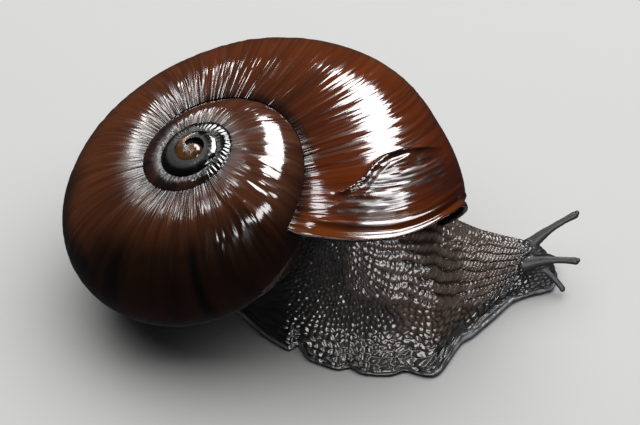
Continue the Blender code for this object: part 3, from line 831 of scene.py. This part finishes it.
# columns fan out to the rim, beaded folds run along the neck, knobs lie between and grains cover the head;
# w is the way up from the rim, top the whole way up
def skinRelief(x, w, top):
    pivotX, pivotW = body["foldPivot"]
    foldStep, beadLength = body["foldStep"], body["beadLength"]
    aside, above = x - body["columnPivot"][0], w - body["columnPivot"][1]
    away = np.hypot(aside, above) + 0.5
    wander = noiseAt(61, x * 0.22, w * 0.22)
    shake = 0.3 * noiseAt(31, x * 0.4, w * 0.4) + 0.12 * noiseAt(32, x, w)
    reach = np.clip(top, 1, pivotW)
    share = np.clip(w / reach, 0, 1.2)
    # folds leave the pivot steeply, then run level along the neck
    ahead = np.maximum(x - pivotX, 0)
    settled = 1 - np.exp(-ahead / body["foldBend"])
    level = 1 - (1 - share) / np.maximum(settled, 0.02)
    foldSize = np.clip(foldStep * reach * np.maximum(settled, 0.1), 0.4, 1.5)
    foldPlace = level / foldStep + 0.7 * shake
    folds, cutFold, foldId = cellPattern(foldPlace, away / beadLength, foldSize, beadLength, 0.22, 11)
    # columns point at their pivot, and bend toward level ahead of it
    bearing = np.degrees(np.arctan2(above, np.where(aside > 0, 9 * (1 - np.exp(-aside / 9)), aside)))
    bearing = np.where(bearing > 90, bearing - 360, bearing)
    columnSize = np.clip(away * 0.04, 0.35, 0.8)
    columnPlace = bearing / body["columnAngle"] + shake
    columns, cutColumn, columnId = cellPattern(columnPlace, away, columnSize, 1.0, 0.55, 21)
    high, long = body["knobSize"]
    knobs, _, knobId = cellPattern(w / high + shake, x / long + 0.3 * wander, high, long, 0.7, 41)
    high, long = body["grainSize"]
    grains, _, grainId = cellPattern(w / high + shake, x / long, high, long, 0.75, 51)
    # where each kind lies
    foldZone = ease(3.2, 4.6, ahead + wander) * ease(0.34, 0.44, share + wander * 0.06 + 0.012 * (x - 20))
    head = ease(28.0, 30.0, x + wander)
    knobZone = ease(8.5, 11.5, ahead + wander * 2.5) * ease(0.12, 0.2, share + 0.02 * wander)
    foldShare = foldZone * (1 - head)
    knobShare = knobZone * (1 - foldShare) * (1 - head)
    columnShare = np.clip(1 - knobShare - foldShare - head, 0, 1)
    # of each kind of cell: share, distance to the edge, number, height and softness
    columnSoftness = np.clip(columnSize * 0.42, 0.15, 0.34)
    kinds = (
        (columnShare, columns * (1 + 0.9 * cutColumn), columnId, 0.5, columnSoftness),
        (foldShare, folds * (1 + 3.6 * cutFold), foldId, 0.46, 0.26),
        (knobShare, knobs, knobId, 0.4, 0.3),
        (head, grains * 1.2, grainId, 0.24, 0.22))
    edge, cell, lift, softness = (sum(kind[i] * kind[0] for kind in kinds) for i in range(1, 5))
    dome = 1 - np.exp(-((edge / (softness + 0.05)) ** 1.35))
    # painted shade: dark along each cell's edge and, further down, in the valleys between folds
    grooveShade = np.exp(-((edge / 0.12) ** 2))
    rimEdge = body["rimWidth"] * (0.5 + 0.5 * ease(13, 18, x) - 0.4 * ease(25, 30, x))
    rimEdge = rimEdge + 0.2 * noiseAt(62, x * 0.9)
    onRim = ease(rimEdge + 0.15, rimEdge - 0.15, w)
    relief = lift * body["grooveDepth"] * (dome - 0.75) * (1 - onRim) * (0.8 + 0.4 * cell)
    # a valley between folds, shallow flutes above the rim, a furrow along its edge and its own fine grain
    fading = ease(28, 14, ahead)
    valley = (0.5 + 0.5 * np.cos(2 * math.pi * foldPlace)) ** 2.5 * foldShare * fading
    relief -= 0.6 * (valley - 0.2) * foldShare * fading
    grooveShade = np.maximum(grooveShade, valley ** 1.5)
    flutes = 0.14 * noiseAt(63, bearing / 6, w * 0.06)
    relief += flutes * ease(9, 3, w) * ease(1.4, 2.6, w) * columnShare
    relief -= 0.2 * bump(w, rimEdge + 0.12, 0.18)
    relief += 0.05 * onRim
    relief += 0.1 * onRim * noiseAt(64, x * 1.5, w * 0.8) * ease(0.4, 1.2, w)
    relief += 0.05 * onRim * noiseAt(65, x * 3.4, w * 3.0) * ease(0.4, 1.2, w)
    relief = relief * (0.15 + 0.85 * ease(-9, -3, x + wander)) * ease(0.15, 0.6, w)
    return SimpleNamespace(relief=relief, grooveShade=grooveShade * (1 - onRim), onRim=onRim * ease(0.05, 0.3, w),
                           cell=cell, knobs=knobShare, folds=foldShare, head=head)


def skinTone(x, w, side, skinMarks):
    tints = body["tints"]
    folds, head, onRim = skinMarks.folds, skinMarks.head, skinMarks.onRim
    cloud = noiseAt(71, x * 0.18, w * 0.18, 0)
    brown = np.clip(skinMarks.knobs * 0.9 + folds * 0.7, 0, 1)
    tone = layered(tints["slate"], (tints["paleSlate"], 0.5 + 0.5 * cloud),
                   (tints["brown"], brown * ease(0, 12, x) * ease(31, 27, x) * ease(2.5, 8, w)))
    # painted light: the folds along the neck a little lighter
    tone = tone * (1 + 0.15 * folds * ease(11, 16, x) * ease(28, 24, x))[..., None]
    tone = mixed(tone, tints["head"], head * 0.8)
    tone = tone * (0.72 + 0.6 * skinMarks.cell)[..., None]
    # painted shade in the grooves between cells and the valleys between folds
    tone = mixed(tone, tints["grooveShade"], skinMarks.grooveShade * 0.92)
    # painted shade: darker at the back, under the shell, and high up under the lip
    tone = mixed(tone, tone * 0.16, ease(2, -6, x) * ease(0.8, 1.6, w))
    tone = mixed(tone, tone * 0.75, ease(21, 24, w) * ease(5, 10, x))
    # painted highlight: a lighter line along the crest of the rim
    rimTone = mixed(tints["rim"], tints["rimCrestHighlight"], bump(w, 1.2, 0.4))
    rimTone = rimTone * (0.75 + 0.5 * noiseAt(72, x * 1.6, w * 1.6))[..., None]
    # painted shade: the rim darker toward the back, under the shell
    rimTone = rimTone * (0.35 + 0.65 * ease(14, 20, x))[..., None]
    return layered(tone, (rimTone, onRim * 0.95), (tints["sole"], (side == 0) * 1.0))


# points, colours and faces of one feeler
def feelerSurface(name):
    root, tip, wide, thin, bulb = feelers["shapes"][name]
    tints = feelers["tints"]
    root, tip = Vector(root) + shift, Vector(tip) + shift
    way = (tip - root).normalized()
    across = way.cross(Vector((0, 0, 1))).normalized()
    up = across.cross(way)
    length = (tip - root).length
    ends = 1 - bulb / length
    stops = ((-0.05, wide * 1.25), (0.06, wide * 1.08), (0.16, wide * 0.86), (0.34, (wide + thin) * 0.44),
             (0.56, thin), (0.8, thin * 0.94), (0.9, bulb * 0.97), (ends, bulb))
    alongs = np.linspace(-0.05, ends, int(length / feelers["ringStep"]))
    radii = np.interp(alongs, [s[0] for s in stops], [s[1] for s in stops])
    radii = np.convolve(np.pad(radii, 3, mode="edge"), np.ones(7) / 7, "valid")
    rings = list(zip(alongs, radii))
    rounding = np.linspace(0, 1.45, 8)[1:]
    rings += [(ends + (1 - ends) * math.sin(a), radii[-1] * math.cos(a)) for a in rounding]
    turns = np.linspace(0, 2 * math.pi, feelers["around"] + 1)[:-1]
    points = []
    for along, radius in rings:
        arch = math.sin(math.pi * min(max(along, 0), 1))
        at = root + (tip - root) * along + up * arch * length * feelers["bow"]
        wrinkle = noiseAt(81, along * length * 2.6, np.cos(turns) * 1.6, np.sin(turns) * 1.6)
        wrinkle = feelers["wrinkle"] * wrinkle * arch
        points.append([at + (across * math.cos(t) + up * math.sin(t)) * (radius + extra)
                       for t, extra in zip(turns, wrinkle)])
    points = np.array(points)
    alongs = np.array([r[0] for r in rings])[:, None] + 0 * points[..., 0]
    tone = mixed(tints["root"], tints["middle"], bump(alongs, 0.5, 0.3))
    tone = mixed(tone, tints["tip"], ease(0.84, 0.94, alongs))
    if name.startswith("lower"):
        tone = tone * 0 + np.array(tints["lower"])
    index = numbered(points)
    return points, tone, gridFaces(index) + [tuple(index[0]), tuple(index[-1][::-1])]


def combine(base, other):
    step = base.modifiers.new("join", "BOOLEAN")
    step.operation = "UNION"
    step.solver = "EXACT"
    step.object = other
    selectOnly(base)
    bpy.ops.object.modifier_apply(modifier=step.name)
    bpy.data.objects.remove(other)


# lips and grooves of the head, in mm: height, then the middle and the width along each axis
def headDetail(points):
    x, y, z = points[..., 0] - middle[0], points[..., 1] - middle[1], points[..., 2]
    details = (
        (-0.3, (x, 35.0, 0.8), (z, 1.25, 0.3), (y, 4.9, 1.5)),  # mouth
        (-0.16, (x, 33.3, 2.2), (np.abs(y - 4.8), 0.15, 0.28), (z, 5.6, 1.4)),  # groove down the brow
        (0.28, (x, 33.6, 1.0), (y, 2.2, 1.0), (z, 2.4, 0.9)),  # lower lips
        (0.28, (x, 33.6, 1.0), (y, 7.6, 1.0), (z, 2.4, 0.9)),
    )
    return sum(height * np.exp(-sum(((at - centre) / width) ** 2 for at, centre, width in spans))
               for height, *spans in details)


# rounds the creases where the feelers leave the head, and keeps every face to four corners
def softenRoots(made):
    shape = bmesh.new()
    shape.from_mesh(made.data)
    spots = [(Vector(root) + (Vector(tip) - Vector(root)).normalized() * wide * 0.6, 1.5 * wide + 0.3)
             for root, tip, wide, *_ in feelers["shapes"].values()]
    chosen = [v for v in shape.verts if any((v.co / mm - shift - at).length < reach for at, reach in spots)]
    for _ in range(6):
        bmesh.ops.smooth_vert(
            shape, verts=chosen, factor=0.5, use_axis_x=True, use_axis_y=True, use_axis_z=True)
    bmesh.ops.triangulate(shape, faces=[f for f in shape.faces if len(f.verts) > 4])
    shape.to_mesh(made.data)
    shape.free()
    made.data.validate()
    made.data.polygons.foreach_set("use_smooth", [True] * len(made.data.polygons))


# each point takes the colour and dullness of the nearest point it was built from
def colourFrom(made, places, tones, dulls):
    tree = kdtree.KDTree(len(places))
    for i, place in enumerate(places):
        tree.insert(place * mm, i)
    tree.balance()
    nearest = np.array([tree.find(v.co)[1] for v in made.data.vertices])
    addAttributes(made, {"tint": tones[nearest], "dull": dulls[nearest]})


def makeSkin():
    slices = bodySlices()
    points, held = tuckUnderShell(slices[..., :3])
    w, top, side = slices[..., 3], slices[..., 4], slices[..., 5]
    x = points[..., 0] - middle[0]
    skinMarks = skinRelief(x, w, top)
    tone = skinTone(x, w, side, skinMarks)
    normals = surfaceNormals(points)
    centre = points.mean(1, keepdims=True)
    flip = np.sign(((points - centre) * normals).sum((1, 2)))[:, None, None]
    normals = normals * np.where(flip == 0, 1, flip)
    rows = np.arange(len(points))
    ends = ease(0, 5, rows)[:, None] * ease(0, 5, rows[::-1])[:, None]
    free = (1 - held) * (side != 0) * ends
    points = points + normals * ((skinMarks.relief - 0.03 + headDetail(points)) * free)[..., None]
    points[..., 2] = np.maximum(points[..., 2], 0.0)
    index = numbered(points)
    made = buildMesh("skin", points, gridFaces(index) + [tuple(index[0]), tuple(index[-1][::-1])])
    fixNormals(made)
    dull = 0.85 * skinMarks.head * ease(29.5, 31.5, x) + 0.3 * skinMarks.onRim
    places, tones, dulls = [points.reshape(-1, 3)], [tone.reshape(-1, 3)], [dull.ravel()]
    for name in feelers["shapes"]:
        ringPoints, ringTone, ringFaces = feelerSurface(name)
        piece = buildMesh(name, ringPoints, ringFaces)
        fixNormals(piece)
        combine(made, piece)
        places.append(ringPoints.reshape(-1, 3))
        tones.append(ringTone.reshape(-1, 3))
        dulls.append(np.full(len(places[-1]), feelers["dull"]))
        print("joined", name)
    softenRoots(made)
    colourFrom(made, np.concatenate(places), np.concatenate(tones), np.concatenate(dulls))
    return made


def skinMaterial():
    made = newMaterial("wetSkin", {"IOR": body["ior"], "Coat Roughness": body["coatRoughness"]})
    place = addNode(made, "TexCoord", {}, {})
    grain = addNode(made, "TexNoise", {"Scale": body["poreScale"], "Detail": 2},
                    {"Vector": place.outputs["Object"]})
    raised = addNode(made, "Bump", body["pores"], {"Height": grain.outputs["Fac"]})
    feedShader(made, {
        "Base Color": attributeOutput(made, "tint", "Color"),
        "Roughness": byDullness(made, body["roughness"], body["dullRoughness"]),
        "Coat Weight": byDullness(made, body["coat"], 0),
        "Normal": raised.outputs["Normal"]})
    return made


skin = makeSkin()
skin.data.materials.append(skinMaterial())
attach(skin, "root")
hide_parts("trunk", "neck", "head", "tail", "foot_rear", "foot_middle", "foot_front", "mantle_collar",
            "upper_feeler_left", "upper_feeler_right", "lower_feeler_left", "lower_feeler_right")
print("made skin", len(skin.data.polygons), "faces")


# eyes: one dark bead on each upper feeler

eyes = {
    "radius": 0.36,
    "sink": 0.35,  # back from the feeler's tip, in tip radii
    "rise": 0.42,  # over the middle of the feeler's tip, in tip radii
    "tint": (0.004, 0.004, 0.005, 1),
    "roughness": 0.06,
}

eyeLook = newMaterial("eyeBlack", {"Base Color": eyes["tint"], "Roughness": eyes["roughness"]})
eyePieces = []
for name, feeler, replaced in (("eyeLeft", "upperLeft", "eye_left"),
                               ("eyeRight", "upperRight", "eye_right")):
    root, tip, *_, bulb = feelers["shapes"][feeler]
    root, tip = Vector(root), Vector(tip)
    at = tip - (tip - root).normalized() * bulb * eyes["sink"] + shift + Vector((0, 0, eyes["rise"] * bulb))
    clearSelection()
    bpy.ops.mesh.primitive_uv_sphere_add(
        segments=32, ring_count=20, radius=eyes["radius"] * mm, location=at * mm)
    bpy.ops.object.transform_apply(location=True)
    bpy.ops.object.shade_smooth()
    eye = bpy.context.active_object
    eye.name = name
    eye.data.materials.append(eyeLook)
    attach(eye, "root")
    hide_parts(replaced)
    eyePieces.append(eye)
print("made eyes")

# stage: floor, light, camera

stage = {
    "floorSize": 1.6,
    "floorDrop": 0.0002,  # keeps the floor clear of the sole
    "floorLook": {"Base Color": (0.6, 0.6, 0.59, 1), "Roughness": 0.8, "Specular IOR Level": 0.1},
    "worldTint": (0.9, 0.95, 1.0, 1),
    "world": 0.022,
    "shellMiddle": (-0.0094, 0.0005, 0.025),
    # place from the shell's middle, size, power, and turn in degrees
    "wideSoftBox": ((0.065, 0.335, 0.45), (0.19, 0.57), 5.6, (0, 0, 0)),
    "narrowSoftBox": ((-0.455, 0.72, 0.45), (0.085, 0.95), 3.4, (0, 0, 0)),
    "smallSoftBox": ((-0.29, 0.12, 0.45), (0.06, 0.1), 0.22, (0, 0, 0)),
    "lowSoftBox": ((0.07, -0.19, 0.45), (0.15, 0.09), 0.5, (0, 0, 0)),
    "frontSoftBox": ((0.02, -0.52, 0.26), (0.6, 0.36), 6.6, (61, 0, 2)),
    "neckSoftBox": ((0.36, 0.06, 0.36), (0.12, 0.5), 3.0, (0, 0, 0)),
    "floorSoftBox": ((0.1, 0.2, 0.45), (0.9, 0.9), 6.0, (0, 0, 0)),
    "cameraAim": 0.01671,  # height of the place it looks at
    "cameraTilt": 40,
    "cameraDistance": 0.4,
    "lens": 159.1,
}

clearSelection()
bpy.ops.mesh.primitive_plane_add(size=stage["floorSize"], location=(0, 0, -stage["floorDrop"]))
floor = bpy.context.active_object
floor.name = "floor"
floor.data.materials.append(newMaterial("paleFloor", stage["floorLook"]))
floor.visible_glossy = False  # a dark gloss over white would hide the colour of the shell

world = bpy.data.worlds.new("softRoom")
bpy.context.scene.world = world
world.use_nodes = True
world.node_tree.nodes["Background"].inputs["Color"].default_value = stage["worldTint"]
world.node_tree.nodes["Background"].inputs["Strength"].default_value = stage["world"]


# a soft box over the shell that lights only the pieces named, so that the floor stays even
def softBox(name, pieces):
    place, (wide, deep), power, turned = stage[name]
    bpy.ops.object.light_add(type="AREA", location=Vector(stage["shellMiddle"]) + Vector(place))
    made = bpy.context.active_object
    made.name = name
    made.data.shape = "RECTANGLE"
    made.data.size, made.data.size_y = wide, deep
    made.data.energy = power
    made.rotation_euler = [math.radians(angle) for angle in turned]
    lit = bpy.data.collections.new(name + "Lights")
    for piece in pieces:
        lit.objects.link(piece)
    made.light_linking.receiver_collection = lit


shellPieces = [shellBody, shellSpire]
fleshPieces = [skin] + eyePieces
for name in ("wideSoftBox", "narrowSoftBox", "smallSoftBox"):
    softBox(name, shellPieces + fleshPieces)
softBox("lowSoftBox", shellPieces)
softBox("frontSoftBox", fleshPieces)
softBox("neckSoftBox", fleshPieces)
softBox("floorSoftBox", [floor])

tilt = math.radians(stage["cameraTilt"])
aim = Vector((middle[0] * mm, middle[1] * mm, stage["cameraAim"]))
toCamera = Vector((0, -math.cos(tilt), math.sin(tilt))) * stage["cameraDistance"]
bpy.ops.object.camera_add(location=aim + toCamera, rotation=(math.pi / 2 - tilt, 0, 0))
camera = bpy.context.active_object
camera.data.lens = stage["lens"]
camera.data.sensor_width = 36
camera.data.clip_start = 0.01
bpy.context.scene.camera = camera
bpy.context.scene.view_settings.view_transform = "Standard"
print("stage set")
